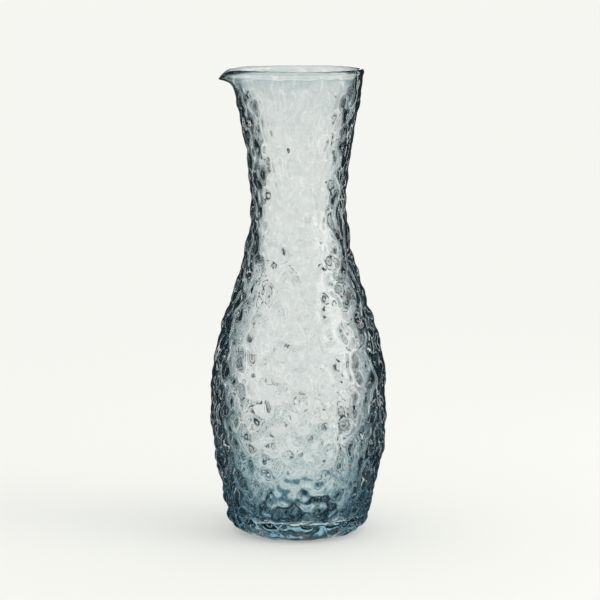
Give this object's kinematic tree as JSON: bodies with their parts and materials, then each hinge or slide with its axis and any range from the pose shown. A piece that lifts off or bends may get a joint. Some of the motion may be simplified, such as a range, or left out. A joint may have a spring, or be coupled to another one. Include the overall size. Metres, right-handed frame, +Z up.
{
  "type": "water carafe",
  "caption": "Thick-walled glass carafe with a full belly, a slim waist, a flared mouth and a pulled pouring lip on one side, for serving water at the table.",
  "frame": {"origin": "centre of the foot ring, on the table that the carafe stands on", "axes": "+Z up the carafe's axis to the rim; the pouring lip points along -X"},
  "size_m": [0.1055, 0.1054, 0.275],
  "materials": {
    "blue_glass": "clear blue-tinted glass, hammered outside, smooth at the rim"
  },
  "bodies": {
    "root": {"base": "blue_glass", "body": "blue_glass", "shoulder": "blue_glass", "neck": "blue_glass", "rim": "blue_glass", "spout": "blue_glass"}
  },
  "joints": []
}
